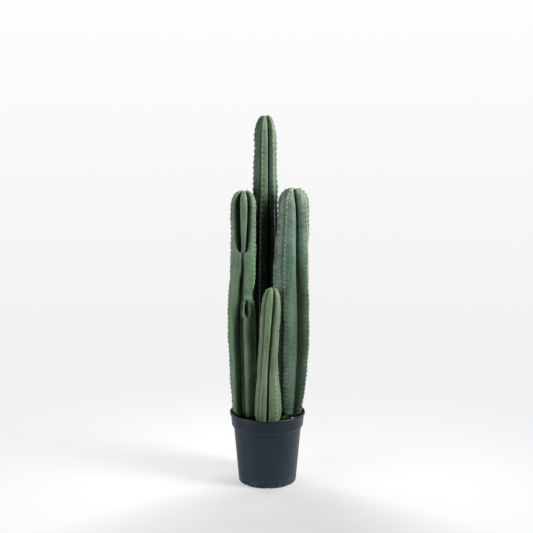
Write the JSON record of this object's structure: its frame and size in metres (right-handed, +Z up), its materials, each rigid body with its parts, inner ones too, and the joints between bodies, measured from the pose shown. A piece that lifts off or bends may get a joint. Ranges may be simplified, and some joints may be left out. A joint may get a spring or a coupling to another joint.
{
  "type": "potted tall cactus",
  "caption": "Group of tall ribbed columnar cactus stems of different heights, growing upright in a round tapered nursery pot that stands on the floor as a decorative plant.",
  "frame": {"origin": "middle of the pot's underside, on the floor", "axes": "+Z up along the stems, -Y toward the side the short stem stands on, +X to that side's right"},
  "size_m": [0.2547, 0.24, 1.1617],
  "materials": {
    "pot_plastic": "dark slate grey moulded polypropylene, satin",
    "potting_soil": "dark peat potting soil, dull and crumbly",
    "stem_skin": "blue-green waxy plant skin with a faint bloom, satin",
    "young_stem_skin": "yellower green waxy plant skin, satin",
    "bark": "rough brown bark",
    "perlite": "white porous grain, dull",
    "areole_wool": "short pale wool cushions",
    "spine": "straw-coloured short spines, smooth"
  },
  "bodies": {
    "root": {"pot": "pot_plastic", "soil": "potting_soil", "tall_stem": "stem_skin", "left_stem": "stem_skin", "right_stem": "stem_skin", "short_stem": "young_stem_skin", "bark_chip_1": "bark", "bark_chip_2": "bark", "bark_chip_3": "bark", "perlite_grain_1": "perlite", "perlite_grain_2": "perlite", "perlite_grain_3": "perlite"}
  },
  "joints": []
}
